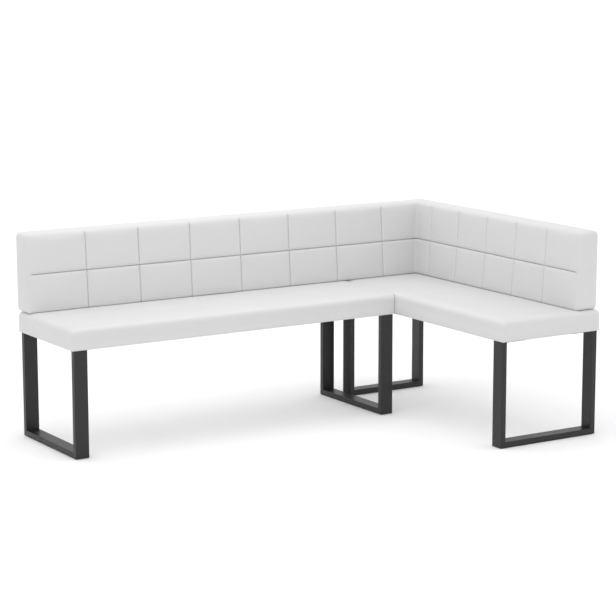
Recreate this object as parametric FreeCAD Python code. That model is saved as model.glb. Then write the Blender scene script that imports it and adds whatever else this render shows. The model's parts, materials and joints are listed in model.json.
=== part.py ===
"""Upholstered corner bench: a long and a short bench seat on four black tube sleds.

Both benches have a board, a foam pad and a cover, and both carry a wedge-shaped
backrest that is sewn into panels. The two backrests meet in a mitre in the corner.

Each bench is first made in its own directions: s runs along the bench from its free
end to the corner, t runs across it from the front edge to the back, and z is up.
The finished pieces are then placed in the part's frame: X along the long bench,
Y towards its back, Z up, with the origin on the floor under the middle of the part.
"""
import FreeCAD, Part
import math
import os

V = FreeCAD.Vector

# Seats
long_seat_length = 1372.5
short_seat_length = 1130.0
seat_depth = 448.0
seat_height = 470.0
seat_thickness = 79.0
seat_seam_gap = 0.8
seat_edge_radius = 20.0
seat_rear_radius = 12.0
seat_seam_radius = 6.0
seat_corner_radius = 9.0
seat_inner_corner_radius = 4.0
seat_crown = 4.0
seat_crown_ramp = 150.0
seat_board_thickness = 18.0
seat_board_edge_inset = 3.3
seat_hem_width = 22.0
lining_thickness = 0.6
lining_clearance = 1.0

# Covers and foam
cover_thickness = 1.5
soft_clearance = 0.3

# Backrests
back_height = 291.0
back_base_thickness = 98.0
back_top_thickness = 76.0
back_edge_radius = 15.0
back_mitre_gap = 0.8
long_back_rear_overhang = 9.5
long_back_end_inset = 0.0
short_back_rear_inset = 2.5
short_back_end_inset = 14.0
back_seam_height = 142.0
back_seam_end_inset = 14.0
long_first_panel = 247.0
long_panel_pitch = 219.8
short_first_panel = 211.0
short_panel_pitch = 184.2
narrowest_panel = 40.0
channel_depth = 4.0
channel_half_width = 8.0
channel_reach = 6.0
back_board_thickness = 15.0
back_board_cover = 8.0
back_rail_front_cover = 14.0
back_rail_height = 45.0
back_rail_end_inset = 20.0

# Sleds
tube_width = 53.0
tube_thickness = 21.5
tube_wall = 1.5
tube_corner_radius = 1.8
glide_thickness = 2.0
glide_width = 45.0
glide_end_inset = 8.0
sled_length = 437.0
long_sled_end_inset = 8.0
short_sled_end_inset = 5.0
long_sled_front_inset = 1.0
short_sled_front_inset = 1.0
corner_sled_length = 359.5
corner_sled_front_inset = 20.5
corner_sled_back_inset = 51.5
plate_thickness = 3.0
tongue_width = 30.0
tongue_length = 90.0
tongue_hole_inset = 22.0

# Flat plates that join the two seats
joining_plate_length = 100.0
joining_plate_width = 40.0
joining_plate_front_inset = 155.0
joining_plate_pitch = 110.0
joining_hole_inset = 14.0
joining_hole_side_inset = 10.0

# Wood screws for plates and sleds
screw_radius = 2.5
screw_length = 19.0
screw_head_radius = 6.0
screw_head_height = 3.0
screw_hole_clearance = 0.15
screw_plate_clearance = 0.8

# Bolts that hold the backrests, with washers and threaded inserts
bolt_radius = 4.0
bolt_head_flats = 13.0
bolt_head_height = 5.3
bolt_reach = 32.0
bolt_end_inset = 120.0
long_bolt_count = 4
short_bolt_count = 3
bolt_clearance = 0.5
insert_radius = 6.0
insert_length = 20.0
insert_clearance = 0.1
thread_clearance = 0.05
washer_radius = 12.0
washer_thickness = 2.0
washer_clearance = 1.0

# Points nearer than this count as one, and a corner stays at least this round
shortest_edge = 0.001
least_corner_radius = 0.5

# Levels and places that follow from these sizes
seat_underside = seat_height - seat_thickness
board_bottom = seat_underside + cover_thickness
board_top = board_bottom + seat_board_thickness
foam_inset = cover_thickness + soft_clearance
plate_bottom = seat_underside - plate_thickness
back_bottom = seat_height
back_top = seat_height + back_height
back_rail_depth = (
    back_base_thickness - back_board_cover - back_board_thickness - back_rail_front_cover
)
back_lean = (back_base_thickness - back_top_thickness) / back_height
lean_length = math.sqrt(1.0 + back_lean ** 2)
seam_z = seat_height + back_seam_height

long_back_rear = seat_depth + long_back_rear_overhang
short_back_rear = seat_depth - short_back_rear_inset
total_length = long_seat_length + seat_seam_gap + seat_depth
short_seat_x = long_seat_length + seat_seam_gap
short_join_s = short_seat_length - seat_depth

# The outer back corner of the two backrests fixes the mitre, as s minus t on each bench
outer_corner_x = short_seat_x + short_back_rear
outer_corner_y = long_back_rear - seat_depth
long_mitre = outer_corner_x - long_back_rear
short_mitre = outer_corner_y + short_seat_length - short_back_rear

# Middle of the part's outline on the floor, in the first bench's directions
centre_x = total_length / 2.0
centre_y = (outer_corner_y - short_seat_length) / 2.0


def box(x0, x1, y0, y1, z0, z1):
    return Part.makeBox(x1 - x0, y1 - y0, z1 - z0, V(x0, y0, z0))


def post_hole(x, y, radius, z0, z1):
    return Part.makeCylinder(radius, z1 - z0, V(x, y, z0))


def outline(start, *moves):
    """A closed face: each move is an end point, or a middle and an end point of an arc."""
    edges = []
    here = start
    for move in moves:
        if isinstance(move, tuple):
            middle, end = move
            edges.append(Part.Arc(here, middle, end).toShape())
        else:
            end = move
            if end.distanceToPoint(here) > shortest_edge:
                edges.append(Part.LineSegment(here, end).toShape())
        here = end
    edges.append(Part.LineSegment(here, start).toShape())
    return Part.Face(Part.Wire(edges))


def arc_middle(centre, corner, radius):
    """The point of a quarter round that lies on the way from its centre to the corner."""
    way = corner.sub(centre)
    way.normalize()
    return centre.add(way.multiply(radius))


def rounded_outline(corners, radii):
    """A face in a plane of constant z with its right-angled corners rounded."""
    count = len(corners)
    points = []
    for i in range(count):
        here = corners[i]
        before = corners[i - 1].sub(here)
        after = corners[(i + 1) % count].sub(here)
        before.normalize()
        after.normalize()
        radius = radii[i]
        start = here.add(V(before).multiply(radius))
        end = here.add(V(after).multiply(radius))
        centre = start.add(V(after).multiply(radius))
        points.append((start, arc_middle(centre, here, radius), end))
    moves = []
    for i in range(count):
        start, middle, end = points[i]
        if i > 0:
            moves.append(start)
        moves.append((middle, end))
    return outline(points[0][0], *moves)


def seat_plan(length, inset):
    """The seat's outline from above, with small rounds where it meets the other seat."""
    free = max(seat_corner_radius - inset, least_corner_radius)
    inner = max(seat_inner_corner_radius - inset, least_corner_radius)
    corners = [
        V(inset, inset, 0),
        V(length - inset, inset, 0),
        V(length - inset, seat_depth - inset, 0),
        V(inset, seat_depth - inset, 0),
    ]
    face = rounded_outline(corners, [free, inner, inner, free])
    return face.extrude(V(0, 0, seat_height + 2 * seat_crown))


def seat_across(length, inset, front_radius, flat_from):
    """The seat's section from front to back: round front edge, crown, flat rear."""
    top = seat_height - inset
    front = V(0, front_radius, seat_height - front_radius)
    rear = V(0, seat_depth - seat_rear_radius, seat_height - seat_rear_radius)
    face = outline(
        V(0, inset, seat_underside + inset),
        V(0, inset, front.z),
        (
            arc_middle(front, V(0, 0, seat_height), front_radius - inset),
            V(0, front_radius, top),
        ),
        (
            V(0, (front_radius + flat_from) / 2.0, top + seat_crown),
            V(0, flat_from, top),
        ),
        V(0, rear.y, top),
        (
            arc_middle(rear, V(0, seat_depth, seat_height), seat_rear_radius - inset),
            V(0, seat_depth - inset, rear.z),
        ),
        V(0, seat_depth - inset, seat_underside + inset),
    )
    return face.extrude(V(length, 0, 0))


def seat_along(length, inset, far_flat, far_radius):
    """The seat's section along its length: a round free end, ramps for the crown."""
    top = seat_height - inset
    peak = top + seat_crown + 1.0
    near = V(seat_edge_radius, 0, seat_height - seat_edge_radius)
    far = V(length - far_radius, 0, seat_height - far_radius)
    face = outline(
        V(inset, 0, seat_underside + inset),
        V(inset, 0, near.z),
        (
            arc_middle(near, V(0, 0, seat_height), seat_edge_radius - inset),
            V(near.x, 0, top),
        ),
        V(near.x + seat_crown_ramp, 0, peak),
        V(length - far_flat - seat_crown_ramp, 0, peak),
        V(length - far_flat, 0, top),
        V(far.x, 0, top),
        (
            arc_middle(far, V(length, 0, seat_height), far_radius - inset),
            V(length - inset, 0, far.z),
        ),
        V(length - inset, 0, seat_underside + inset),
    )
    return face.extrude(V(0, seat_depth, 0))


def seat_form(bench, inset, front_radius):
    """The seat's outer shape, or the same shape a little smaller all round."""
    length = bench["seat_length"]
    across = seat_across(length, inset, front_radius, bench["flat_from"])
    along = seat_along(length, inset, bench["far_flat"], bench["far_radius"])
    return across.common(along).common(seat_plan(length, inset))


def upholstery(bench, inset):
    """The seat form, with a nearly square front edge where the long seat presses on it."""
    form = seat_form(bench, inset, seat_edge_radius)
    if bench["pressed_from"] is None:
        return form
    length = bench["seat_length"]
    far = box(bench["pressed_from"], length, 0, seat_depth, 0, 2 * seat_height)
    pressed = seat_form(bench, inset, seat_seam_radius).common(far)
    return form.cut(far).fuse(pressed).removeSplitter()


def seat_pieces(bench):
    length = bench["seat_length"]
    hem = box(
        seat_hem_width,
        length - seat_hem_width,
        seat_hem_width,
        seat_depth - seat_hem_width,
        seat_underside - 1.0,
        board_bottom,
    )
    cover = upholstery(bench, 0.0).cut(upholstery(bench, cover_thickness)).cut(hem)
    foam_space = box(0, length, 0, seat_depth, board_top, 2 * seat_height)
    foam = upholstery(bench, foam_inset).common(foam_space)
    board_space = box(0, length, 0, seat_depth, board_bottom, board_top)
    board = seat_plan(length, seat_board_edge_inset).common(board_space)
    edge = seat_hem_width + lining_clearance
    lining = box(
        edge, length - edge, edge, seat_depth - edge, board_bottom - lining_thickness, board_bottom
    )
    return {"seat_cover": cover, "seat_foam": foam, "seat_board": board, "seat_lining": lining}


def back_front(bench, z):
    """How far back the leaning front face of the backrest lies at a height."""
    return bench["back_rear"] - back_base_thickness + back_lean * (z - back_bottom)


def mitre_space(bench, inset):
    """All the room on the bench's own side of the mitre."""
    reach = (back_mitre_gap / 2.0 + inset) * math.sqrt(2.0)
    edge = bench["mitre"] - reach
    low = -2.0 * seat_depth
    high = 2.0 * seat_depth
    face = outline(
        V(low, low, 0),
        V(edge + low, low, 0),
        V(edge + high, high, 0),
        V(low, high, 0),
    )
    return face.extrude(V(0, 0, 2 * back_top))


def channel(bench, s, z, across, along, inset):
    """A V-shaped cutter for one seam, from a place on the leaning front face."""
    into = V(0, 1, -back_lean).multiply(1.0 / lean_length)
    slope = channel_half_width / channel_depth
    depth = channel_depth + inset * math.sqrt(1.0 + slope ** 2) / slope
    place = V(s, back_front(bench, z), z)
    bottom = place.add(V(into).multiply(depth))
    middle = place.sub(V(into).multiply(channel_reach))
    half = V(across).multiply((depth + channel_reach) * slope)
    return outline(bottom, middle.sub(half), middle.add(half)).extrude(along)


def channels(bench, inset):
    """Cutters for the sewn channels: one level one, and one upright per seam."""
    up = V(0, back_lean, 1).multiply(1.0 / lean_length)
    level = V(1, 0, 0)
    start = bench["back_start"] + back_seam_end_inset - inset
    length = bench["mitre"] + bench["back_rear"] - start
    cutters = [channel(bench, start, seam_z, up, V(length, 0, 0), inset)]
    foot = back_bottom - channel_reach
    height = (back_height + 2.0 * channel_reach) * lean_length
    corner_s = bench["mitre"] + back_front(bench, back_bottom)
    s = bench["back_start"] + bench["first_panel"]
    while s < corner_s - narrowest_panel:
        cutters.append(channel(bench, s, foot, level, V(up).multiply(height), inset))
        s += bench["panel_pitch"]
    return cutters


def back_form(bench, inset):
    """The wedge of the backrest with rounded edges, channels and its mitred end."""
    rear = bench["back_rear"] - inset
    low = back_bottom + inset
    high = back_top - inset
    skew = inset * lean_length
    start = bench["back_start"] + inset
    face = outline(
        V(start, rear, low),
        V(start, rear, high),
        V(start, back_front(bench, high) + skew, high),
        V(start, back_front(bench, low) + skew, low),
    )
    length = bench["mitre"] + bench["back_rear"] + back_base_thickness - start
    wedge = face.extrude(V(length, 0, 0))
    far = start + length
    edges = []
    for edge in wedge.Edges:
        if edge.BoundBox.XMin < far - 1.0:
            edges.append(edge)
    wedge = wedge.makeFillet(back_edge_radius - inset, edges)
    return wedge.cut(channels(bench, inset)).common(mitre_space(bench, inset))


def back_pieces(bench):
    inside = back_form(bench, foam_inset)
    cover = back_form(bench, 0.0).cut(back_form(bench, cover_thickness))
    core = mitre_space(bench, back_board_cover)
    start = bench["back_start"] + back_board_cover
    far = bench["mitre"] + bench["back_rear"]
    board_rear = bench["back_rear"] - back_board_cover
    board_front = board_rear - back_board_thickness
    board = box(
        start,
        far,
        board_front,
        board_rear,
        back_bottom + back_board_cover,
        back_top - back_board_cover,
    ).common(core)
    rail_bottom = back_bottom + foam_inset
    rail = box(
        bench["back_start"] + back_rail_end_inset,
        far,
        board_front - back_rail_depth,
        board_front,
        rail_bottom,
        rail_bottom + back_rail_height,
    ).common(core)
    foam = inside.cut(board).cut(rail)
    return {"back_cover": cover, "back_foam": foam, "back_board": board, "back_rail": rail}


def tube(s0, t0, t1, z0, z1, way):
    """A rectangular tube with rounded long edges and open ends, along t or z."""
    outer = box(s0, s0 + tube_width, t0, t1, z0, z1)
    long_edges = []
    for edge in outer.Edges:
        size = edge.BoundBox
        if max(size.XLength, size.YLength, size.ZLength) == getattr(size, way):
            if getattr(size, way) > 0.5 * tube_width:
                long_edges.append(edge)
    outer = outer.makeFillet(tube_corner_radius, long_edges)
    wall = tube_wall
    if way == "YLength":
        inner = box(s0 + wall, s0 + tube_width - wall, t0 - 1, t1 + 1, z0 + wall, z1 - wall)
    else:
        inner = box(s0 + wall, s0 + tube_width - wall, t0 + wall, t1 - wall, z0 - 1, z1 + 1)
    return outer.cut(inner)


def corner_wedge(s0, t_out, side, z0):
    """The room above a mitre at one lower corner of a sled; side is 1 at the front."""
    reach = tube_thickness + 1.0
    top = z0 + reach
    face = outline(
        V(s0 - 1, t_out - side, z0 - 1),
        V(s0 - 1, t_out + side * reach, top),
        V(s0 - 1, t_out - side, top),
    )
    return face.extrude(V(tube_width + 2, 0, 0))


def sled_pieces(sled):
    """One sled: two posts and a runner with mitred joints, top plates and a floor glide."""
    s0 = sled["s"]
    t0 = sled["t"]
    t1 = t0 + sled["length"]
    z0 = glide_thickness
    runner_top = z0 + tube_thickness
    front = tube(s0, t0, t0 + tube_thickness, z0, plate_bottom, "ZLength")
    rear = tube(s0, t1 - tube_thickness, t1, z0, plate_bottom, "ZLength")
    runner = tube(s0, t0, t1, z0, runner_top, "YLength")
    front_room = corner_wedge(s0, t0, 1, z0)
    rear_room = corner_wedge(s0, t1, -1, z0)
    above = box(s0 - 1, s0 + tube_width + 1, t0 - 1, t1 + 1, z0 + tube_thickness, plate_bottom)
    front = front.common(front_room.fuse(above))
    rear = rear.common(rear_room.fuse(above))
    runner = runner.cut(front_room).cut(rear_room)
    tongue_s = s0 + (tube_width - tongue_width) / 2.0
    plates = []
    for cap_t, tongue_t in (
        (t0, t0 + tube_thickness),
        (t1 - tube_thickness, t1 - tube_thickness - tongue_length),
    ):
        cap = box(
            s0, s0 + tube_width, cap_t, cap_t + tube_thickness, plate_bottom, seat_underside
        )
        tongue = box(
            tongue_s,
            tongue_s + tongue_width,
            tongue_t,
            tongue_t + tongue_length,
            plate_bottom,
            seat_underside,
        )
        plates.append(cap.fuse(tongue).removeSplitter())
    glide = box(
        s0 + (tube_width - glide_width) / 2.0,
        s0 + (tube_width + glide_width) / 2.0,
        t0 + glide_end_inset,
        t1 - glide_end_inset,
        0,
        z0,
    )
    return {
        "front_post": front,
        "rear_post": rear,
        "runner": runner,
        "plates": Part.makeCompound(plates),
        "glide": glide,
    }


def sled_screw_places(sled):
    """Two screws in each tongue, in the bench's own directions."""
    s = sled["s"] + tube_width / 2.0
    t0 = sled["t"] + tube_thickness
    t1 = sled["t"] + sled["length"] - tube_thickness
    places = []
    for reach in (tongue_hole_inset, tongue_length - tongue_hole_inset):
        places.append((s, t0 + reach))
        places.append((s, t1 - reach))
    return places


def bolt_places(bench):
    """Bolts spread along the rail, over the bench's own seat."""
    t = bench["back_rear"] - back_board_cover - back_board_thickness - back_rail_depth / 2.0
    first = bolt_end_inset
    last = bench["last_bolt"]
    count = bench["bolt_count"]
    return [(first + (last - first) * i / (count - 1), t) for i in range(count)]


def place_long(shape):
    moved = shape.copy()
    moved.translate(V(-centre_x, -seat_depth - centre_y, 0))
    return moved


def place_short(shape):
    """The short bench is turned about the diagonal, so its s runs along Y and its t along X."""
    moved = shape.mirror(V(0, 0, 0), V(1, -1, 0))
    moved.translate(V(short_seat_x - centre_x, -short_seat_length - centre_y, 0))
    return moved


def spot_long(place):
    return (place[0] - centre_x, place[1] - seat_depth - centre_y)


def spot_short(place):
    return (place[1] + short_seat_x - centre_x, place[0] - short_seat_length - centre_y)


def drilled(shape, places, radius, z0, z1):
    if not places:
        return shape
    holes = [post_hole(x, y, radius, z0, z1) for x, y in places]
    return shape.cut(Part.makeCompound(holes))


def screw(x, y):
    """A pan-head wood screw, driven up through a plate."""
    head_bottom = plate_bottom - screw_head_height
    head = post_hole(x, y, screw_head_radius, head_bottom, plate_bottom)
    shank = post_hole(x, y, screw_radius, plate_bottom, plate_bottom + screw_length)
    return head.fuse(shank).removeSplitter()


def hexagon(x, y, flats, z0, z1):
    corner = flats / math.sqrt(3.0)
    points = []
    for i in range(6):
        angle = math.radians(60 * i)
        points.append(V(x + corner * math.cos(angle), y + corner * math.sin(angle), z0))
    return outline(*points).extrude(V(0, 0, z1 - z0))


def bolt(x, y):
    washer_bottom = board_bottom - washer_thickness
    head = hexagon(x, y, bolt_head_flats, washer_bottom - bolt_head_height, washer_bottom)
    shank = post_hole(x, y, bolt_radius, washer_bottom, back_bottom + foam_inset + bolt_reach)
    return head.fuse(shank).removeSplitter()


def washer(x, y):
    ring = post_hole(x, y, washer_radius, board_bottom - washer_thickness, board_bottom)
    hole = post_hole(x, y, bolt_radius + bolt_clearance, board_bottom - 5.0, board_bottom + 5.0)
    return ring.cut(hole)


def insert(x, y):
    bottom = back_bottom + foam_inset
    top = bottom + insert_length
    body = post_hole(x, y, insert_radius, bottom, top)
    return body.cut(post_hole(x, y, bolt_radius + thread_clearance, bottom - 1.0, top + 1.0))


def joining_places():
    """Middles of the two joining plates, in the part's frame."""
    x = long_seat_length + seat_seam_gap / 2.0 - centre_x
    front_y = joining_plate_front_inset - seat_depth - centre_y
    return [(x, front_y), (x, front_y + joining_plate_pitch)]


def joining_screw_places():
    places = []
    reach_x = joining_plate_length / 2.0 - joining_hole_inset
    reach_y = joining_plate_width / 2.0 - joining_hole_side_inset
    for x, y in joining_places():
        for way_x in (-1, 1):
            for way_y in (-1, 1):
                places.append((x + way_x * reach_x, y + way_y * reach_y))
    return places


def joining_plates():
    plates = []
    for x, y in joining_places():
        plates.append(
            box(
                x - joining_plate_length / 2.0,
                x + joining_plate_length / 2.0,
                y - joining_plate_width / 2.0,
                y + joining_plate_width / 2.0,
                plate_bottom,
                seat_underside,
            )
        )
    return Part.makeCompound(plates)


long_bench = {
    "name": "long",
    "seat_length": long_seat_length,
    "flat_from": long_back_rear - back_base_thickness + foam_inset,
    "far_flat": seat_seam_radius,
    "far_radius": seat_seam_radius,
    "pressed_from": None,
    "back_rear": long_back_rear,
    "back_start": long_back_end_inset,
    "mitre": long_mitre,
    "first_panel": long_first_panel,
    "panel_pitch": long_panel_pitch,
    "bolt_count": long_bolt_count,
    "last_bolt": long_seat_length - long_sled_end_inset - 1.5 * tube_width,
    "place": place_long,
    "spot": spot_long,
    "sleds": {
        "left_sled": {
            "s": long_sled_end_inset,
            "t": long_sled_front_inset,
            "length": sled_length,
        },
        "middle_sled": {
            "s": long_seat_length - long_sled_end_inset - tube_width,
            "t": long_sled_front_inset,
            "length": sled_length,
        },
    },
}

short_bench = {
    "name": "short",
    "seat_length": short_seat_length,
    "flat_from": short_back_rear - back_base_thickness + foam_inset,
    "far_flat": back_base_thickness - long_back_rear_overhang - foam_inset,
    "far_radius": seat_rear_radius,
    "pressed_from": short_join_s,
    "back_rear": short_back_rear,
    "back_start": short_back_end_inset,
    "mitre": short_mitre,
    "first_panel": short_first_panel,
    "panel_pitch": short_panel_pitch,
    "bolt_count": short_bolt_count,
    "last_bolt": short_seat_length - corner_sled_back_inset - 2.2 * tube_width,
    "place": place_short,
    "spot": spot_short,
    "sleds": {
        "right_sled": {
            "s": short_sled_end_inset,
            "t": short_sled_front_inset,
            "length": sled_length,
        },
        "corner_sled": {
            "s": short_seat_length - corner_sled_back_inset - tube_width,
            "t": corner_sled_front_inset,
            "length": corner_sled_length,
        },
    },
}


def bench_nodes(bench):
    """All the pieces of one bench, placed and drilled."""
    place = bench["place"]
    spot = bench["spot"]
    pieces = {}
    pieces.update(seat_pieces(bench))
    pieces.update(back_pieces(bench))
    placed = {name: place(shape) for name, shape in pieces.items()}
    nodes = {}
    bolts = [spot(p) for p in bolt_places(bench)]
    screws = []
    for sled_name, sled in bench["sleds"].items():
        own = [spot(p) for p in sled_screw_places(sled)]
        screws.extend(own)
        parts = {name: place(shape) for name, shape in sled_pieces(sled).items()}
        parts["plates"] = drilled(
            parts["plates"],
            own,
            screw_radius + screw_plate_clearance,
            plate_bottom - 1.0,
            seat_underside + 1.0,
        )
        parts["screws"] = Part.makeCompound([screw(x, y) for x, y in own])
        for name, shape in parts.items():
            nodes[sled_name + "_" + name] = shape
    screws.extend(joining_screw_places())
    washer_room = washer_radius + washer_clearance
    wide = screw_radius + screw_plate_clearance
    low = seat_underside - 1.0
    bolt_hole = bolt_radius + bolt_clearance
    for name in ("seat_cover", "seat_lining"):
        placed[name] = drilled(placed[name], screws, wide, low, board_bottom)
        placed[name] = drilled(placed[name], bolts, washer_room, low, board_bottom)
    placed["seat_board"] = drilled(
        placed["seat_board"],
        screws,
        screw_radius + screw_hole_clearance,
        low,
        plate_bottom + screw_length + screw_hole_clearance,
    )
    rail_bottom = back_bottom + foam_inset
    for name in ("seat_cover", "seat_foam", "seat_board", "back_cover"):
        placed[name] = drilled(placed[name], bolts, bolt_hole, low, rail_bottom)
    rail = drilled(
        placed["back_rail"],
        bolts,
        insert_radius + insert_clearance,
        rail_bottom - 1.0,
        rail_bottom + insert_length,
    )
    placed["back_rail"] = drilled(
        rail, bolts, bolt_hole, rail_bottom, rail_bottom + bolt_reach + bolt_clearance
    )
    placed["back_bolts"] = Part.makeCompound([bolt(x, y) for x, y in bolts])
    placed["back_washers"] = Part.makeCompound([washer(x, y) for x, y in bolts])
    placed["back_inserts"] = Part.makeCompound([insert(x, y) for x, y in bolts])
    for name, shape in placed.items():
        nodes[bench["name"] + "_" + name] = shape
    return nodes


nodes = {}
nodes.update(bench_nodes(long_bench))
nodes.update(bench_nodes(short_bench))
nodes["joining_plates"] = drilled(
    joining_plates(),
    joining_screw_places(),
    screw_radius + screw_plate_clearance,
    plate_bottom - 1.0,
    seat_underside + 1.0,
)
nodes["joining_screws"] = Part.makeCompound([screw(x, y) for x, y in joining_screw_places()])

os.makedirs("parts", exist_ok=True)
for name in sorted(nodes):
    shape = nodes[name]
    shape.exportStep("parts/" + name + ".step")
    size = shape.BoundBox
    print(
        "%-26s solids %2d valid %s volume %10.0f  x %8.1f %8.1f  y %8.1f %8.1f  z %6.1f %6.1f"
        % (
            name,
            len(shape.Solids),
            shape.isValid(),
            shape.Volume,
            size.XMin,
            size.XMax,
            size.YMin,
            size.YMax,
            size.ZMin,
            size.ZMax,
        )
    )
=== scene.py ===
import json
import math

import bmesh
import bpy
from bpy.props import FloatProperty, FloatVectorProperty, IntProperty, PointerProperty
from bpy.props import StringProperty
from mathutils import Matrix, Vector


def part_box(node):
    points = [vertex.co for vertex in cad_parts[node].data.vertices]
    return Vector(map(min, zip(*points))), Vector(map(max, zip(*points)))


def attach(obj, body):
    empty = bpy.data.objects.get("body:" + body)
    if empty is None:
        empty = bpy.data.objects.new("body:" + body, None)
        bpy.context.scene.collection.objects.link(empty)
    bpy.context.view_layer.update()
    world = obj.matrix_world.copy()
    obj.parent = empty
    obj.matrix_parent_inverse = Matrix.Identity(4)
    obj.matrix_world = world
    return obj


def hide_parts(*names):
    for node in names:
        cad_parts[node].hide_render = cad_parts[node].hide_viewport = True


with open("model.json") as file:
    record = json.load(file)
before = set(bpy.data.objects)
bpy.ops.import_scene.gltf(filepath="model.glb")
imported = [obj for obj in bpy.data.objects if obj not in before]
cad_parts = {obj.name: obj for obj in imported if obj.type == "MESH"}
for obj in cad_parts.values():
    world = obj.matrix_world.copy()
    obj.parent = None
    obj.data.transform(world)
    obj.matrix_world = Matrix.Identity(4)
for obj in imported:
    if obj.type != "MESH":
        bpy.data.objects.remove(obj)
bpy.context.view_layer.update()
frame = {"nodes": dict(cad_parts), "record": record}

bl_info = {
    "name": "Corner bench",
    "version": (1, 0, 0),
    "blender": (4, 5, 0),
    "location": "View3D > Sidebar > Bench",
    "description": "Makes the padding, sewing, finishes and studio of a corner bench",
    "category": "Object",
}

MM = 0.001
S, T, Z = 0, 1, 2

# Shares of a rounded edge's radius, a seam's width and the corner's hollow round at which
# the mesh is cut
ROUND_STEPS = (0.0, 0.33, 0.66, 1.0)
SLIT_STEPS = (0.0, 0.25, 0.55, 1.0)
CHANNEL_STEPS = (0.28, 0.45, 0.7, 1.0)
FILL_STEPS = (0.12, 0.3, 0.5, 0.75, 1.0)

# Grid lines nearer than this to another one are left out
LINE_GAP = 0.3 * MM
# Points nearer than this to a cut are taken as lying on it
CUT_SNAP = 0.02 * MM
# Room between the lining and the cover that is folded round it
FOLD_GAP = 0.2 * MM
# Faces within this height of a seat's lowest point belong to its underside
UNDERSIDE_REACH = 0.5 * MM
SHARP_EDGE = math.radians(55)
WHITE = (1.0, 1.0, 1.0, 1.0)

# How the coated cloth resists stretching, shearing and bending
CLOTH = {
    "quality": 5,
    "mass": 0.4,
    "tension_stiffness": 25,
    "compression_stiffness": 25,
    "shear_stiffness": 10,
    "bending_stiffness": 4,
    "use_pressure": True,
}


def node_box(name):
    low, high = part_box(name)
    return Vector(low), Vector(high)


long_seat_low, long_seat_high = node_box("long_seat_cover")
short_seat_low, short_seat_high = node_box("short_seat_cover")
long_back_low, long_back_high = node_box("long_back_cover")
short_back_low, short_back_high = node_box("short_back_cover")
lining_top = node_box("long_seat_lining")[1].z
board_top = node_box("long_seat_board")[1].z


class SeatSettings(bpy.types.PropertyGroup):
    """Sizes of the two padded seats."""

    height: FloatProperty(
        name="Height",
        description="Height of the seat's flat part above the floor",
        default=470 * MM,
        unit="LENGTH",
    )
    edge_radius: FloatProperty(
        name="Edge radius",
        description="Roundness of the free top edges",
        default=20 * MM,
        unit="LENGTH",
    )
    rear_radius: FloatProperty(
        name="Rear radius",
        description="Roundness of the top edges behind the backrests",
        default=12 * MM,
        unit="LENGTH",
    )
    seam_radius: FloatProperty(
        name="Seam radius",
        description="Roundness of the top edges where the two seats press together",
        default=1.2 * MM,
        unit="LENGTH",
    )
    corner_radius: FloatProperty(
        name="Corner radius",
        description="Roundness of the upright corners",
        default=9 * MM,
        unit="LENGTH",
    )
    inner_corner_radius: FloatProperty(
        name="Inner corner radius",
        description="Roundness of the upright corners at the joint",
        default=4.5 * MM,
        unit="LENGTH",
    )
    fold_radius: FloatProperty(
        name="Fold radius",
        description="Roundness of the cover where it turns under the board",
        default=5 * MM,
        unit="LENGTH",
    )
    crown: FloatProperty(
        name="Crown",
        description="Rise of the padding over the flat part",
        default=4 * MM,
        unit="LENGTH",
    )
    crown_ramp: FloatProperty(
        name="Crown ramp",
        description="Length over which the crown rises from a seat's end",
        default=150 * MM,
        unit="LENGTH",
    )
    hem_width: FloatProperty(
        name="Hem width",
        description="Width of the cover that is turned under the board",
        default=22 * MM,
        unit="LENGTH",
    )
    swell: FloatProperty(
        name="Swell",
        description="Most that stuffing moves the seat's surface",
        default=2.5 * MM,
        unit="LENGTH",
    )
    notch_depth: FloatProperty(
        name="Notch depth",
        description="Depth of the small hollow where the joint runs under the backrest",
        default=20 * MM,
        unit="LENGTH",
    )
    notch_length: FloatProperty(
        name="Notch length",
        description="Half the length of the hollow along the backrest",
        default=8 * MM,
        unit="LENGTH",
    )
    notch_width: FloatProperty(
        name="Notch width",
        description="Half the width of the hollow",
        default=15 * MM,
        unit="LENGTH",
    )
    notch_offset: FloatProperty(
        name="Notch offset",
        description="Distance of the hollow's middle from the seats' joint",
        default=24 * MM,
        unit="LENGTH",
    )
    notch_inset: FloatProperty(
        name="Notch inset",
        description="Distance of the hollow's middle in front of the backrest",
        default=4.5 * MM,
        unit="LENGTH",
    )


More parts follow.
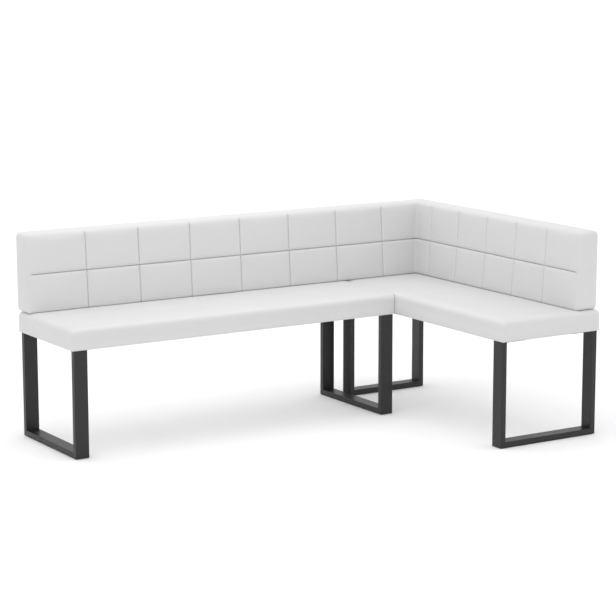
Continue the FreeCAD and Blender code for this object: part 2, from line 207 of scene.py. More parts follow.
class BackSettings(bpy.types.PropertyGroup):
    """Sizes of the two sewn backrests."""

    base_thickness: FloatProperty(
        name="Base thickness",
        description="Thickness at the seat",
        default=98 * MM,
        unit="LENGTH",
    )
    top_thickness: FloatProperty(
        name="Top thickness",
        description="Thickness at the top",
        default=76 * MM,
        unit="LENGTH",
    )
    edge_radius: FloatProperty(
        name="Edge radius",
        description="Roundness of the edges",
        default=15 * MM,
        unit="LENGTH",
    )
    foot_radius: FloatProperty(
        name="Foot radius",
        description="Roundness of the front edge that rests on the seat",
        default=10 * MM,
        unit="LENGTH",
    )
    corner_fill: FloatProperty(
        name="Corner fill",
        description="Radius of the hollow round where the fronts meet in the corner",
        default=9 * MM,
        unit="LENGTH",
    )
    mitre_radius: FloatProperty(
        name="Mitre radius",
        description="Roundness of the edges of the mitre in the corner",
        default=0.4 * MM,
        unit="LENGTH",
    )
    mitre_gap: FloatProperty(
        name="Mitre gap",
        description="Gap between the two backrests in the corner",
        default=0.06 * MM,
        unit="LENGTH",
    )
    seam_height: FloatProperty(
        name="Seam height",
        description="Height of the level seam above the seat",
        default=142 * MM,
        unit="LENGTH",
    )
    long_first_panel: FloatProperty(
        name="Long first panel",
        description="Width of the first panel of the long backrest",
        default=247.0 * MM,
        unit="LENGTH",
    )
    long_panel_pitch: FloatProperty(
        name="Long panel pitch",
        description="Width of the other panels of the long backrest",
        default=219.8 * MM,
        unit="LENGTH",
    )
    long_seams: IntProperty(
        name="Long seams",
        description="Number of upright seams in the long backrest",
        default=7,
    )
    short_first_panel: FloatProperty(
        name="Short first panel",
        description="Width of the first panel of the short backrest",
        default=211.0 * MM,
        unit="LENGTH",
    )
    short_panel_pitch: FloatProperty(
        name="Short panel pitch",
        description="Width of the other panels of the short backrest",
        default=184.2 * MM,
        unit="LENGTH",
    )
    short_seams: IntProperty(
        name="Short seams",
        description="Number of upright seams in the short backrest",
        default=5,
    )
    channel_width: FloatProperty(
        name="Channel width",
        description="Half the width over which a seam draws the padding in",
        default=12 * MM,
        unit="LENGTH",
    )
    channel_depth: FloatProperty(
        name="Channel depth",
        description="Depth to which a seam draws the padding in",
        default=3.2 * MM,
        unit="LENGTH",
    )
    slit_width: FloatProperty(
        name="Slit width",
        description="Half the width of the sharp fold at a seam",
        default=2.0 * MM,
        unit="LENGTH",
    )
    slit_depth: FloatProperty(
        name="Slit depth",
        description="Depth of the sharp fold at an upright seam of the long backrest",
        default=2.7 * MM,
        unit="LENGTH",
    )
    short_slit_depth: FloatProperty(
        name="Short slit depth",
        description="Depth of the sharp fold at an upright seam of the short backrest",
        default=1.5 * MM,
        unit="LENGTH",
    )
    level_slit_depth: FloatProperty(
        name="Level slit depth",
        description="Depth of the sharp fold at the level seam",
        default=5 * MM,
        unit="LENGTH",
    )
    seam_start: FloatProperty(
        name="Seam start",
        description="Distance from the free end at which the level seam begins",
        default=16 * MM,
        unit="LENGTH",
    )
    swell: FloatProperty(
        name="Swell",
        description="Most that stuffing moves the backrest's surface",
        default=2.5 * MM,
        unit="LENGTH",
    )


class StuffingSettings(bpy.types.PropertyGroup):
    """How the covers are filled."""

    cell: FloatProperty(
        name="Cell",
        description="Size of the cloth's cells",
        default=10 * MM,
        unit="LENGTH",
    )
    pressure: FloatProperty(
        name="Pressure",
        description="Pressure of the foam on the cover",
        default=4.0,
    )
    frames: IntProperty(
        name="Frames",
        description="Frames that the cover takes to settle",
        default=20,
    )


class FinishSettings(bpy.types.PropertyGroup):
    """Colours and pattern sizes."""

    leather_colour: StringProperty(
        name="Cover colour",
        description="Colour of the coated cloth, as sRGB hex",
        default="#D5D5D5",
    )
    grain_size: FloatProperty(
        name="Grain size",
        description="Size of the cover's embossed grain",
        default=1.4 * MM,
        unit="LENGTH",
    )
    steel_colour: StringProperty(
        name="Steel colour",
        description="Colour of the powder coat, as sRGB hex",
        default="#151515",
    )
    powder_size: FloatProperty(
        name="Powder size",
        description="Size of the fine dimples in the powder coat",
        default=0.9 * MM,
        unit="LENGTH",
    )


class StageSettings(bpy.types.PropertyGroup):
    """The camera, floor and lights."""

    camera_place: FloatVectorProperty(
        name="Camera place",
        description="Where the camera stands",
        default=(-4.0597, -6.4461, 1.8542),
        subtype="TRANSLATION",
    )
    camera_turn: FloatVectorProperty(
        name="Camera turn",
        description="How the camera is turned",
        default=(math.radians(79.757), math.radians(0.049), math.radians(-32.191)),
        subtype="EULER",
    )
    lens: FloatProperty(
        name="Lens",
        description="Focal length in millimetres on a sensor 36 mm wide",
        default=122.938,
    )
    dome_low: FloatProperty(
        name="Dome at the sides",
        description="Strength of the studio dome near the floor",
        default=0.95,
    )
    dome_rise: FloatProperty(
        name="Dome rise",
        description="How much stronger the dome is overhead than at the sides",
        default=0.45,
    )
    floor_lift: FloatProperty(
        name="Floor lift",
        description="Brightness that the camera sees on the floor beyond what the light gives",
        default=0.1,
    )
    floor_colour: StringProperty(
        name="Floor colour",
        description="Colour of the studio floor, as sRGB hex",
        default="#EEEEEE",
    )
    floor_size: FloatProperty(
        name="Floor size",
        description="Distance from the floor's middle to its edges",
        default=40.0,
        unit="LENGTH",
    )
    overhead_place: FloatVectorProperty(
        name="Overhead place",
        description="Where the soft lamp hangs over the long seat",
        default=(-0.3, 0.25, 2.2),
        subtype="TRANSLATION",
    )
    overhead_length: FloatProperty(
        name="Overhead length",
        description="Length of the lamp along the long seat",
        default=1.8,
        unit="LENGTH",
    )
    overhead_width: FloatProperty(
        name="Overhead width",
        description="Width of the lamp",
        default=1.0,
        unit="LENGTH",
    )
    overhead_power: FloatProperty(
        name="Overhead power",
        description="Power of the lamp, in watts",
        default=6.0,
    )


class BenchSettings(bpy.types.PropertyGroup):
    """All the bench's settings."""

    seat: PointerProperty(name="Seat", type=SeatSettings)
    back: PointerProperty(name="Backrest", type=BackSettings)
    stuffing: PointerProperty(name="Stuffing", type=StuffingSettings)
    finish: PointerProperty(name="Finish", type=FinishSettings)
    stage: PointerProperty(name="Stage", type=StageSettings)


def linear(colour):
    """A linear RGBA colour from an sRGB hex string."""
    values = []
    for i in (1, 3, 5):
        c = int(colour[i : i + 2], 16) / 255.0
        values.append(c / 12.92 if c <= 0.04045 else ((c + 0.055) / 1.055) ** 2.4)
    return (*values, 1.0)


def add_node(tree, kind, settings=None, links=None):
    """Adds a node, with settings on itself or its sockets, and links into its sockets."""
    node = tree.nodes.new(kind)
    for name, value in (settings or {}).items():
        if isinstance(name, str) and hasattr(node, name):
            setattr(node, name, value)
        else:
            node.inputs[name].default_value = value
    for name, source in (links or {}).items():
        tree.links.new(source, node.inputs[name])
    return node


def new_material(name):
    material = bpy.data.materials.new(name)
    material.use_nodes = True
    material.node_tree.nodes.clear()
    return material, material.node_tree


def own_place(tree):
    """Places in the piece's own space, so that patterns have their real size."""
    return add_node(tree, "ShaderNodeTexCoord").outputs["Object"]


def noise(tree, place, size, detail, roughness=0.5):
    """An uneven pattern with patches of about the size given."""
    node = add_node(
        tree,
        "ShaderNodeTexNoise",
        {"Scale": 1.0 / size, "Detail": detail, "Roughness": roughness},
        {"Vector": place},
    )
    return node.outputs["Fac"]


def cells(tree, place, size, settings=None):
    """A pattern of small cells of about the size given."""
    values = {**(settings or {}), "Scale": 1.0 / size}
    node = add_node(tree, "ShaderNodeTexVoronoi", values, {"Vector": place})
    return node.outputs["Distance"]


def mix(tree, first, second, share):
    """A colour between two others."""
    node = add_node(
        tree, "ShaderNodeMix", {"data_type": "RGBA", 6: first, 7: second}, {0: share}
    )
    return node.outputs[2]


def spread(tree, low, high, share):
    """A value between two others."""
    node = add_node(
        tree, "ShaderNodeMapRange", {"To Min": low, "To Max": high}, {"Value": share}
    )
    return node.outputs["Result"]


def relief(tree, strength, distance, height, under=None):
    """Fine bumps, on top of those under them."""
    links = {"Height": height}
    if under is not None:
        links["Normal"] = under
    node = add_node(
        tree, "ShaderNodeBump", {"Strength": strength, "Distance": distance}, links
    )
    return node.outputs["Normal"]


def surface(tree, settings, links):
    shader = add_node(tree, "ShaderNodeBsdfPrincipled", settings, links)
    add_node(tree, "ShaderNodeOutputMaterial", links={"Surface": shader.outputs["BSDF"]})


def scaled(colour, factor):
    return tuple(c * factor for c in colour[:3]) + (1.0,)


def coated_cloth(finish):
    """White polyurethane-coated cloth, calendered with a fine grain."""
    material, tree = new_material("white_coated_cloth")
    place = own_place(tree)
    # The embossing rolls leave small rounded cells
    grain = cells(
        tree, place, finish.grain_size, {"feature": "SMOOTH_F1", "Smoothness": 0.6}
    )
    # The cloth under the coat is slightly uneven over a hand's width
    uneven = noise(tree, place, 90 * MM, 3.0)
    base = linear(finish.leather_colour)
    fine = relief(tree, 0.35, 0.06 * MM, grain)
    surface(
        tree,
        {"IOR": 1.5, "Specular IOR Level": 0.35},
        {
            "Base Color": mix(tree, base, scaled(base, 0.965), uneven),
            "Roughness": spread(tree, 0.46, 0.58, uneven),
            "Normal": relief(tree, 0.5, 0.5 * MM, uneven, fine),
        },
    )
    return material


def powder_coat(finish):
    """Satin black powder coat on steel tube: faint orange peel and fine dimples."""
    material, tree = new_material("black_powder_coat")
    place = own_place(tree)
    peel = noise(tree, place, 2.2 * MM, 2.0)
    specks = cells(tree, place, finish.powder_size)
    cloud = noise(tree, place, 60 * MM, 3.0)
    base = linear(finish.steel_colour)
    fine = relief(tree, 0.25, 0.02 * MM, specks)
    surface(
        tree,
        {"IOR": 1.5},
        {
            "Base Color": mix(tree, base, scaled(base, 1.35), cloud),
            "Roughness": spread(tree, 0.36, 0.5, cloud),
            "Normal": relief(tree, 0.35, 0.05 * MM, peel, fine),
        },
    )
    return material


def zinc_plate():
    """Bright zinc on screws, bolts and plates: cool metal with faint crystal flecks."""
    material, tree = new_material("zinc_plated_steel")
    flecks = cells(tree, own_place(tree), 3 * MM)
    surface(
        tree,
        {"Metallic": 1.0},
        {
            "Base Color": mix(tree, linear("#B4B7BA"), linear("#D0D2D4"), flecks),
            "Roughness": spread(tree, 0.28, 0.42, flecks),
        },
    )
    return material


def spun_lining():
    """Black spun-bonded dust cloth: matt, with a faint point-bonded grid."""
    material, tree = new_material("black_spun_lining")
    place = own_place(tree)
    fibres = noise(tree, place, 1.5 * MM, 6.0, 0.7)
    bonds = cells(tree, place, 2.5 * MM, {"Randomness": 0.15})
    surface(
        tree,
        {"Roughness": 0.95, "Specular IOR Level": 0.2},
        {
            "Base Color": mix(tree, linear("#1E1E1E"), linear("#383838"), fibres),
            "Normal": relief(tree, 0.5, 0.1 * MM, bonds),
        },
    )
    return material


def raw_wood(name, light, dark, ring):
    """Sawn or peeled wood: long soft streaks along the grain."""
    material, tree = new_material(name)
    stretch = add_node(
        tree,
        "ShaderNodeMapping",
        {"Scale": (1.0, 12.0, 12.0)},
        {"Vector": own_place(tree)},
    )
    streaks = noise(tree, stretch.outputs["Vector"], ring, 5.0, 0.6)
    surface(
        tree,
        {"Roughness": 0.75},
        {
            "Base Color": mix(tree, linear(light), linear(dark), streaks),
            "Normal": relief(tree, 0.3, 0.2 * MM, streaks),
        },
    )
    return material


def glide_plastic():
    """Black polyethylene strip: waxy and matt, with faint drawn lines."""
    material, tree = new_material("black_polyethylene")
    lines = noise(tree, own_place(tree), 4 * MM, 2.0)
    surface(
        tree,
        {},
        {
            "Base Color": mix(tree, linear("#1C1C1C"), linear("#2A2A2A"), lines),
            "Roughness": spread(tree, 0.55, 0.7, lines),
        },
    )
    return material


def cuts(low, high, cell, marks):
    """Grid lines from low to high: one at each mark, the rest evenly between them."""
    stops = [low]
    for mark in sorted(marks):
        if stops[-1] + LINE_GAP < mark < high - LINE_GAP:
            stops.append(mark)
    stops.append(high)
    lines = [low]
    for a, b in zip(stops, stops[1:]):
        count = max(1, round((b - a) / cell))
        for i in range(1, count + 1):
            lines.append(a + (b - a) * i / count)
    return lines


def round_marks(place, way, radius):
    """Grid lines that cut a rounded edge into even steps."""
    return [place + way * radius * k for k in ROUND_STEPS]


def grid_block(lines):
    """A closed box whose faces are cut at the grid lines along s, t and z."""
    bm = bmesh.new()
    bmesh.ops.create_cube(bm, size=1.0, matrix=Matrix.Translation((0.5, 0.5, 0.5)))
    for axis in (S, T, Z):
        count = len(lines[axis]) - 2
        along = [e for e in bm.edges if abs(e.verts[0].co[axis] - e.verts[1].co[axis]) > 0.5]
        if count > 0:
            bmesh.ops.subdivide_edges(bm, edges=along, cuts=count, use_grid_fill=True)
    for v in bm.verts:
        for axis in (S, T, Z):
            v.co[axis] = lines[axis][round(v.co[axis] * (len(lines[axis]) - 1))]
    return bm


def roll_edge(bm, side_a, side_b, radius):
    """Rounds the edge where two sides meet. A side is an axis, a place on it and a sign."""
    a, limit_a, sign_a = side_a
    b, limit_b, sign_b = side_b
    for v in bm.verts:
        r = radius(v.co) if callable(radius) else radius
        u = sign_a * (v.co[a] - limit_a) + r
        w = sign_b * (v.co[b] - limit_b) + r
        if u > 0 and w > 0:
            k = max(u, w) / math.hypot(u, w)
            v.co[a] = limit_a + sign_a * (u * k - r)
            v.co[b] = limit_b + sign_b * (w * k - r)


def smooth_step(x, start, end):
    """0 before start, 1 after end, and an even turn between them."""
    k = min(1.0, max(0.0, (x - start) / (end - start)))
    return k * k * (3 - 2 * k)


def place_long(bm):
    bmesh.ops.translate(bm, vec=(long_seat_low.x, long_seat_low.y, 0), verts=bm.verts)


def place_short(bm):
    """s turns to Y and t to X, which is a mirror image, so the faces are turned back."""
    for v in bm.verts:
        v.co.x, v.co.y = v.co.y, v.co.x
    bmesh.ops.translate(bm, vec=(short_seat_low.x, short_seat_low.y, 0), verts=bm.verts)
    bmesh.ops.reverse_faces(bm, faces=bm.faces)


def new_piece(name, bm):
    mesh = bpy.data.meshes.new(name)
    bm.to_mesh(mesh)
    bm.free()
    piece = bpy.data.objects.new(name, mesh)
    bpy.context.scene.collection.objects.link(piece)
    return piece


def apply_modifiers(piece):
    """Gives the piece the mesh that its modifiers make, and removes them."""
    graph = bpy.context.evaluated_depsgraph_get()
    made = bpy.data.meshes.new_from_object(piece.evaluated_get(graph))
    piece.modifiers.clear()
    old = piece.data
    piece.data = made
    bpy.data.meshes.remove(old)


def stuff(piece, pinned, cap, stuffing):
    """Fills the cover: the free cloth swells under pressure, but by no more than the cap."""
    scene = bpy.context.scene
    start = [v.co.copy() for v in piece.data.vertices]
    held = piece.vertex_groups.new(name="held")
    held.add([i for i, co in enumerate(start) if pinned(co)], 1.0, "REPLACE")
    cloth = piece.modifiers.new("stuffing", "CLOTH")
    for name, value in CLOTH.items():
        setattr(cloth.settings, name, value)
    cloth.settings.uniform_pressure_force = stuffing.pressure
    cloth.settings.vertex_group_mass = held.name
    cloth.settings.effector_weights.gravity = 0
    cloth.collision_settings.use_collision = False
    cloth.point_cache.frame_start = 1
    cloth.point_cache.frame_end = stuffing.frames
    for number in range(1, stuffing.frames + 1):
        scene.frame_set(number)
    apply_modifiers(piece)
    scene.frame_set(1)
    for v, before in zip(piece.data.vertices, start):
        move = v.co - before
        length = move.length
        if length > 0:
            v.co = before + move * (cap * math.tanh(length / cap) / length)
    piece.vertex_groups.clear()


def refine(piece):
    modifier = piece.modifiers.new("refine", "SUBSURF")
    modifier.levels = 1
    modifier.render_levels = 1
    apply_modifiers(piece)


def shade(piece):
    """Smooth shading, apart from edges sharper than a fold."""
    bm = bmesh.new()
    bm.from_mesh(piece.data)
    for face in bm.faces:
        face.smooth = True
    for edge in bm.edges:
        edge.smooth = edge.calc_face_angle(0.0) < SHARP_EDGE
    bm.to_mesh(piece.data)
    bm.free()


def finish_cushion(piece, name):
    """Gives a cushion its cover, in place of the plain cover and foam."""
    shade(piece)
    piece.data.materials.append(bpy.data.materials["white_coated_cloth"])
    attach(piece, "root")
    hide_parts(name + "_cover", name + "_foam")


def seat_block(seat, cell, depth, low, bench):
    """One seat: a box with rolled edges, soft top and square joint."""
    length = bench["length"]
    top = seat.height
    marks_s = [seat.hem_width, length - seat.hem_width]
    marks_s += round_marks(0.0, 1, seat.edge_radius)
    marks_s += round_marks(length, -1, bench["far_radius"])
    marks_t = [seat.hem_width, depth - seat.hem_width, seat.seam_radius]
    marks_t += round_marks(0.0, 1, seat.edge_radius)
    marks_t += round_marks(depth, -1, seat.rear_radius)
    marks_z = [low + seat.fold_radius, board_top]
    marks_z += round_marks(top, -1, seat.edge_radius)
    bm = grid_block(
        (
            cuts(0.0, length, cell, marks_s),
            cuts(0.0, depth, cell, marks_t),
            cuts(low, top, cell, marks_z),
        )
    )
    free_end = (S, 0.0, -1)
    far_end = (S, length, 1)
    front = (T, 0.0, -1)
    rear = (T, depth, 1)
    upper = (Z, top, 1)
    under = (Z, low, -1)
    roll_edge(bm, free_end, front, seat.corner_radius)
    roll_edge(bm, free_end, rear, seat.corner_radius)
    roll_edge(bm, far_end, front, seat.inner_corner_radius)
    roll_edge(bm, far_end, rear, seat.inner_corner_radius)
    roll_edge(bm, free_end, upper, seat.edge_radius)
    roll_edge(bm, far_end, upper, bench["far_radius"])
    roll_edge(bm, front, upper, bench["front_radius"])
    roll_edge(bm, rear, upper, seat.rear_radius)
    for side in (free_end, far_end, front, rear):
        roll_edge(bm, side, under, seat.fold_radius)
    for v in bm.verts:
        if v.co.z > top - seat.edge_radius:
            share = smooth_step(v.co.z, top - seat.edge_radius, top)
            v.co.z += seat.crown * bench["rise"](v.co) * share
    return bm


def crown_shape(seat, length, flat_from, far_flat):
    """The rise of the padding at a place on the seat, from 0 to 1."""

    def rise(co):
        k = (co.y - seat.edge_radius) / (flat_from - seat.edge_radius)
        across = math.sin(math.pi * min(1.0, max(0.0, k))) ** 0.7
        near = smooth_step(co.x, 0.0, seat.crown_ramp)
        far = smooth_step(length - far_flat - co.x, 0.0, seat.crown_ramp)
        return across * near * far

    return rise


def press_notch(bm, seat, joint_x):
    """The small hollow in the top where the seats' joint runs under the long backrest."""
    middle_x = joint_x + seat.notch_offset
    middle_y = long_back_low.y - seat.notch_inset
    for v in bm.verts:
        if v.co.z > seat.height - seat.seam_radius:
            u = (v.co.x - middle_x) / seat.notch_length
            w = (v.co.y - middle_y) / seat.notch_width
            v.co.z -= seat.notch_depth * math.exp(-u * u - w * w)


def turn_hem(piece, box_low, box_high, seat):
    """Steps the underside up inside the hem, to make room for the lining."""
    bm = bmesh.new()
    bm.from_mesh(piece.data)
    inner = []
    for face in bm.faces:
        middle = face.calc_center_median()
        if face.normal.z < -0.9 and middle.z < box_low.z + UNDERSIDE_REACH:
            if box_low.x + seat.hem_width < middle.x < box_high.x - seat.hem_width:
                if box_low.y + seat.hem_width < middle.y < box_high.y - seat.hem_width:
                    inner.append(face)
    made = bmesh.ops.extrude_face_region(bm, geom=inner)["geom"]
    raised = [g for g in made if isinstance(g, bmesh.types.BMVert)]
    for v in raised:
        v.co.z = lining_top + FOLD_GAP
    patch = [g for g in made if isinstance(g, bmesh.types.BMFace)]
    bmesh.ops.dissolve_faces(bm, faces=patch)
    bm.to_mesh(piece.data)
    bm.free()


def mitre_line(back, bench, t):
    """How far along the bench its side of the mitre reaches, at a place across it."""
    return bench["mitre"] + t - back.mitre_gap / 2.0 * math.sqrt(2.0)


def fill_corner(back, v, away, behind):
    """Brings the front forward in a hollow round towards the other backrest."""
    radius = back.corner_fill
    if away >= radius:
        return
    # Halfway round, where the two fronts meet, the hollow is this far from both of them
    least = radius * (1.0 - math.sqrt(0.5))
    reach = least + (radius - least) * away / radius
    rise = radius - math.sqrt(radius**2 - (radius - reach) ** 2)
    share = 1.0 - smooth_step(behind, 0.0, 0.5 * back.top_thickness)
    v.co.x -= (reach - away) * share
    v.co.y -= rise * share


def back_block(back, cell, bench):
    """One backrest: a wedge with rolled edges, leaning front and mitred end."""
    start = bench["start"]
    rear = bench["rear"]
    front = rear - back.base_thickness
    end = bench["mitre"] + rear
    low = long_back_low.z
    top = long_back_high.z
    radius = back.edge_radius
    last = max(bench["seams"])
    # The end is squeezed onto the slanting mitre, so the cuts near it start further apart
    squeeze = 1.0 - back.base_thickness / (end - last)
    fill = back.corner_fill / squeeze
    marks_s = round_marks(start, 1, radius) + [end - back.mitre_radius]
    marks_s.extend(end - fill * k for k in FILL_STEPS)
    marks_s.extend(bench["seams"])
    marks_t = round_marks(front, 1, radius) + round_marks(rear, -1, radius)
    marks_z = round_marks(low, 1, radius) + round_marks(low, 1, back.foot_radius)
    marks_z.append(low + back.seam_height)
    marks_z += round_marks(top, -1, radius)
    bm = grid_block(
        (
            cuts(start, end, cell, marks_s),
            cuts(front, rear, cell, marks_t),
            cuts(low, top, cell, marks_z),
        )
    )
    free_end = (S, start, -1)
    far_end = (S, end, 1)
    fore = (T, front, -1)
    aft = (T, rear, 1)
    upper = (Z, top, 1)
    under = (Z, low, -1)
    for side in (fore, aft):
        roll_edge(bm, free_end, side, radius)
        roll_edge(bm, far_end, side, back.mitre_radius)
    for side in (free_end, fore, aft):
        roll_edge(bm, side, upper, radius)
    for side in (free_end, aft):
        roll_edge(bm, side, under, radius)
    roll_edge(bm, fore, under, back.foot_radius)
    roll_edge(bm, far_end, upper, back.mitre_radius)
    roll_edge(bm, far_end, under, back.mitre_radius)
    thinning = 1.0 - back.top_thickness / back.base_thickness
    for v in bm.verts:
        slimmed = 1.0 - thinning * (v.co.z - low) / (top - low)
        behind = v.co.y - front
        v.co.y = rear - (rear - v.co.y) * slimmed
        if v.co.x > last:
            reach = mitre_line(back, bench, v.co.y)
            v.co.x = last + (v.co.x - last) * (reach - last) / (end - last)
            fill_corner(back, v, reach - v.co.x, behind)
    return bm


def seam_depth(back, u, slit_depth):
    """How deep a seam draws the padding in, at a distance from it."""
    u = abs(u)
    wide = max(0.0, 1.0 - u / back.channel_width) ** 2
    slit = max(0.0, 1.0 - u / back.slit_width)
    return back.channel_depth * wide + slit_depth * slit


def cut_seam(bm, axis, at, steps, middle_t):
    """Cuts the front of a cover along lines at the steps given on both sides of a seam."""
    reach = steps[-1] + MM
    near = set()
    for face in bm.faces:
        if face.calc_center_median().y < middle_t:
            values = [v.co[axis] for v in face.verts]
            if min(values) < at + reach and max(values) > at - reach:
                near.add(face)
                near.update(face.verts)
                near.update(face.edges)
    geometry = list(near)
    normal = Vector((0, 0, 0))
    normal[axis] = 1.0
    for step in steps:
        for way in (-1, 1) if step > 0 else (1,):
            point = normal * (at + way * step)
            made = bmesh.ops.bisect_plane(
                bm, geom=geometry, dist=CUT_SNAP, plane_co=point, plane_no=normal
            )
            geometry = made["geom"]


def sew(piece, back, bench):
    """Cuts the seam lines into the front and draws the padding in along them."""
    low = long_back_low.z
    top = long_back_high.z
    lean = (back.base_thickness - back.top_thickness) / (top - low)
    inward = Vector((0.0, 1.0, -lean)).normalized()
    seam_z = low + back.seam_height
    seam_start = bench["start"] + back.seam_start
    middle_t = bench["rear"] - 0.5 * back.top_thickness
    steps = [back.slit_width * k for k in SLIT_STEPS]
    steps.extend(back.channel_width * k for k in CHANNEL_STEPS)
    bm = bmesh.new()
    bm.from_mesh(piece.data)
    cut_seam(bm, Z, seam_z, steps, middle_t)
    for s in bench["seams"]:
        cut_seam(bm, S, s, steps, middle_t)
    for v in bm.verts:
        if v.co.y > middle_t:
            continue
        level = seam_depth(back, v.co.z - seam_z, back.level_slit_depth)
        level *= smooth_step(v.co.x, seam_start, seam_start + back.seam_start)
        upright = max(seam_depth(back, v.co.x - s, bench["slit_depth"]) for s in bench["seams"])
        upright *= 1.0 - smooth_step(v.co.z, top - back.edge_radius, top - 0.3 * back.edge_radius)
        depth = max(level, upright)
        away = mitre_line(back, bench, v.co.y) - v.co.x
        v.co += inward * depth
        # Near the corner the seam also moves along the bench, so that it stays on the mitre
        v.co.x += inward.y * depth * (1.0 - smooth_step(away, 0.0, back.corner_fill))
    bench["place"](bm)
    bm.to_mesh(piece.data)
    bm.free()


def held_back(back, bench):
    """Where a backrest's cover is fixed: rear, foot, mitre and seams."""
    low = long_back_low.z
    upper_edge = long_back_high.z - back.edge_radius
    rear = bench["rear"]
    stapled = 5 * MM
    mitre = bench["mitre"] - back.corner_fill - 2 * MM

    def held(co):
        if co.y > rear - stapled or co.z < low + stapled or co.x - co.y > mitre:
            return True
        if co.y > rear - 0.5 * back.top_thickness or co.z > upper_edge:
            return False
        if abs(co.z - low - back.seam_height) < MM:
            return True
        return any(abs(co.x - s) < MM for s in bench["seams"])

    return held


def settings():
    return bpy.context.scene.bench


class BENCH_OT_seats(bpy.types.Operator):
    """Makes the two padded seats, simulated as stuffed covers."""

    bl_idname = "bench.seats"
    bl_label = "Seats"

    def execute(self, context):
        seat = settings().seat
        stuffing = settings().stuffing
        back = settings().back
        depth = long_seat_high.y - long_seat_low.y
        underside = long_seat_low.z + FOLD_GAP
        pinned_below = underside + seat.fold_radius + MM
        joint_x = (long_seat_high.x + short_seat_low.x) / 2.0
        long_length = joint_x - long_seat_low.x
        short_length = short_seat_high.y - short_seat_low.y
        join_s = long_seat_low.y - short_seat_low.y
        long_flat = long_back_high.y - long_seat_low.y - back.base_thickness
        short_flat = short_back_high.x - short_seat_low.x - back.base_thickness
        far_flat = short_seat_high.y - (long_back_high.y - back.base_thickness)

        # The short seat's front edge turns sharp where the long seat presses against it
        press_start = join_s - 12 * MM
        press_end = join_s + 16 * MM
        pressed = 4 * MM

        def short_front_radius(co):
            share = smooth_step(co.x, press_start, press_end)
            return seat.edge_radius + (seat.seam_radius - seat.edge_radius) * share

        benches = (
            {
                "name": "long_seat",
                "length": long_length,
                "far_radius": seat.seam_radius,
                "front_radius": seat.edge_radius,
                "rise": crown_shape(seat, long_length, long_flat, -0.5 * seat.crown_ramp),
                "held": lambda co: (
                    co.z < pinned_below
                    or co.y > long_flat
                    or co.x > long_length - pressed
                ),
                "place": place_long,
                "low": long_seat_low,
                "high": long_seat_high,
            },
            {
                "name": "short_seat",
                "length": short_length,
                "far_radius": seat.rear_radius,
                "front_radius": short_front_radius,
                "rise": crown_shape(seat, short_length, short_flat, far_flat),
                "held": lambda co: (
                    co.z < pinned_below
                    or co.y > short_flat
                    or co.x > short_length - far_flat
                    or (co.y < pressed and co.x > join_s)
                ),
                "place": place_short,
                "low": short_seat_low,
                "high": short_seat_high,
            },
        )
        for bench in benches:
            bm = seat_block(seat, stuffing.cell, depth, underside, bench)
            piece = new_piece(bench["name"] + "_cushion", bm)
            stuff(piece, bench["held"], seat.swell, stuffing)
            refine(piece)
            bm = bmesh.new()
            bm.from_mesh(piece.data)
            bench["place"](bm)
            press_notch(bm, seat, joint_x)
            bm.to_mesh(piece.data)
            bm.free()
            turn_hem(piece, bench["low"], bench["high"], seat)
            finish_cushion(piece, bench["name"])
        return {"FINISHED"}


class BENCH_OT_backrests(bpy.types.Operator):
    """Makes the two backrests, stuffed and sewn into panels."""

    bl_idname = "bench.backrests"
    bl_label = "Backrests"

    def execute(self, context):
        back = settings().back
        stuffing = settings().stuffing
        long_rear = long_back_high.y - long_seat_low.y
        short_rear = short_back_high.x - short_seat_low.x
        long_start = long_back_low.x - long_seat_low.x
        short_start = short_back_low.y - short_seat_low.y
        benches = (
            {
                "name": "long_back",
                "slit_depth": back.slit_depth,
                "start": long_start,
                "rear": long_rear,
                "mitre": short_back_high.x - long_seat_low.x - long_rear,
                "seams": [
                    long_start + back.long_first_panel + back.long_panel_pitch * i
                    for i in range(back.long_seams)
                ],
                "place": place_long,
            },
            {
                "name": "short_back",
                "slit_depth": back.short_slit_depth,
                "start": short_start,
                "rear": short_rear,
                "mitre": long_back_high.y - short_seat_low.y - short_rear,
                "seams": [
                    short_start + back.short_first_panel + back.short_panel_pitch * i
                    for i in range(back.short_seams)
                ],
                "place": place_short,
            },
        )
        for bench in benches:
            piece = new_piece(bench["name"] + "_cushion", back_block(back, stuffing.cell, bench))
            stuff(piece, held_back(back, bench), back.swell, stuffing)
            refine(piece)
            sew(piece, back, bench)
            finish_cushion(piece, bench["name"])
        return {"FINISHED"}


class BENCH_OT_materials(bpy.types.Operator):
    """Makes the finishes and gives them to the sleds, fittings, boards and linings."""

    bl_idname = "bench.materials"
    bl_label = "Materials"

    def execute(self, context):
        finish = settings().finish
        coated_cloth(finish)
        made = {
            "black_steel": powder_coat(finish),
            "zinc_steel": zinc_plate(),
            "lining": spun_lining(),
            "glide": glide_plastic(),
            "board": raw_wood("raw_plywood", "#C9A877", "#B08D5C", 30 * MM),
            "rail_wood": raw_wood("planed_softwood", "#D9B98A", "#C29A63", 18 * MM),
        }
        slots = {p["node"]: p["material_slot"] for p in frame["record"]["subparts"]}
        for name, node in frame["nodes"].items():
            slot = slots[name]
            if slot in made:
                node.data.materials.clear()
                node.data.materials.append(made[slot])
        return {"FINISHED"}


def seen(tree):
    """1 where the camera or a reflection looks, and 0 where light is gathered."""
    path = add_node(tree, "ShaderNodeLightPath")
    rays = {0: path.outputs["Is Camera Ray"], 1: path.outputs["Is Glossy Ray"]}
    return add_node(tree, "ShaderNodeMath", {"operation": "MAXIMUM"}, rays).outputs[0]


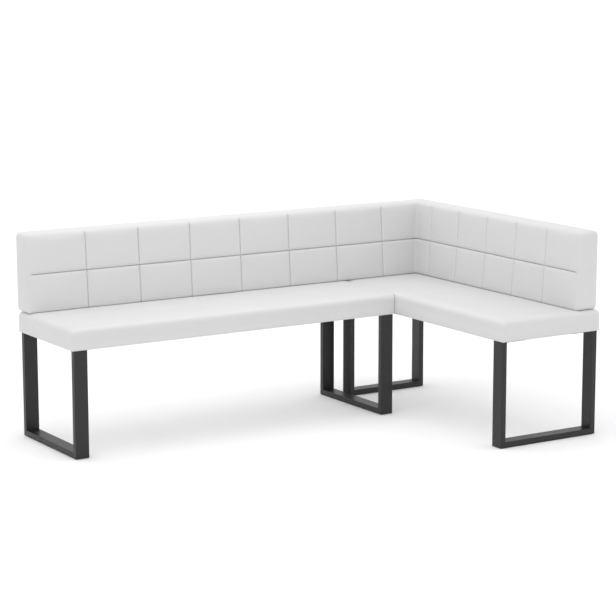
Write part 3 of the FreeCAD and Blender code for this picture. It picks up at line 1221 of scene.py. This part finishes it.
class BENCH_OT_stage(bpy.types.Operator):
    """Makes the floor, the lights and the camera."""

    bl_idname = "bench.stage"
    bl_label = "Stage"

    def execute(self, context):
        stage = settings().stage
        scene = bpy.context.scene
        scene.view_settings.view_transform = "Standard"

        bm = bmesh.new()
        bmesh.ops.create_grid(bm, x_segments=1, y_segments=1, size=stage.floor_size)
        floor = new_piece("studio_floor", bm)
        material, tree = new_material("white_studio_floor")
        plain = add_node(tree, "ShaderNodeBsdfDiffuse", {"Color": linear(stage.floor_colour)})
        glow = add_node(
            tree, "ShaderNodeEmission", {"Color": WHITE, "Strength": stage.floor_lift}
        )
        lifted = add_node(
            tree,
            "ShaderNodeAddShader",
            links={0: plain.outputs[0], 1: glow.outputs[0]},
        )
        mixed = add_node(
            tree,
            "ShaderNodeMixShader",
            links={0: seen(tree), 1: plain.outputs[0], 2: lifted.outputs[0]},
        )
        add_node(tree, "ShaderNodeOutputMaterial", links={"Surface": mixed.outputs[0]})
        floor.data.materials.append(material)

        world = bpy.data.worlds.new("studio")
        scene.world = world
        world.use_nodes = True
        sky = world.node_tree
        sky.nodes.clear()
        way = add_node(
            sky,
            "ShaderNodeSeparateXYZ",
            links={"Vector": add_node(sky, "ShaderNodeTexCoord").outputs["Generated"]},
        )
        height = add_node(
            sky, "ShaderNodeMath", {"operation": "POWER", 1: 2.0}, {0: way.outputs["Z"]}
        )
        dome_high = stage.dome_low + stage.dome_rise
        dome = spread(sky, stage.dome_low, dome_high, height.outputs[0])
        strength = add_node(
            sky,
            "ShaderNodeMapRange",
            {"To Max": 1.0},
            {"Value": seen(sky), "To Min": dome},
        )
        glow = add_node(
            sky,
            "ShaderNodeBackground",
            {"Color": WHITE},
            {"Strength": strength.outputs["Result"]},
        )
        add_node(sky, "ShaderNodeOutputWorld", links={"Surface": glow.outputs[0]})

        lamp = bpy.data.lights.new("overhead", "AREA")
        lamp.shape = "RECTANGLE"
        lamp.size = stage.overhead_length
        lamp.size_y = stage.overhead_width
        lamp.energy = stage.overhead_power
        overhead = bpy.data.objects.new("overhead", lamp)
        overhead.location = stage.overhead_place
        scene.collection.objects.link(overhead)

        lens = bpy.data.cameras.new("camera")
        lens.sensor_width = 36.0
        lens.lens = stage.lens
        camera = bpy.data.objects.new("camera", lens)
        camera.location = stage.camera_place
        camera.rotation_euler = stage.camera_turn
        lens.clip_end = 200.0
        scene.collection.objects.link(camera)
        scene.camera = camera
        return {"FINISHED"}


class BENCH_PT_panel(bpy.types.Panel):
    """Lists the bench's operators and settings."""

    bl_idname = "BENCH_PT_panel"
    bl_label = "Corner bench"
    bl_space_type = "VIEW_3D"
    bl_region_type = "UI"
    bl_category = "Bench"

    def draw(self, context):
        for operator in OPERATORS:
            self.layout.operator(operator.bl_idname)
        bench = context.scene.bench
        for group in (bench.seat, bench.back, bench.stuffing, bench.finish, bench.stage):
            box = self.layout.box()
            for name in group.__annotations__:
                box.prop(group, name)


OPERATORS = (
    BENCH_OT_materials,
    BENCH_OT_stage,
    BENCH_OT_seats,
    BENCH_OT_backrests,
)
CLASSES = (
    SeatSettings,
    BackSettings,
    StuffingSettings,
    FinishSettings,
    StageSettings,
    BenchSettings,
    *OPERATORS,
    BENCH_PT_panel,
)


def register():
    for cls in CLASSES:
        bpy.utils.register_class(cls)
    bpy.types.Scene.bench = PointerProperty(type=BenchSettings)


def unregister():
    del bpy.types.Scene.bench
    for cls in reversed(CLASSES):
        bpy.utils.unregister_class(cls)


def main():
    register()
    bpy.ops.bench.materials()
    bpy.ops.bench.stage()
    bpy.ops.bench.seats()
    bpy.ops.bench.backrests()


if __name__ == "__main__":
    main()
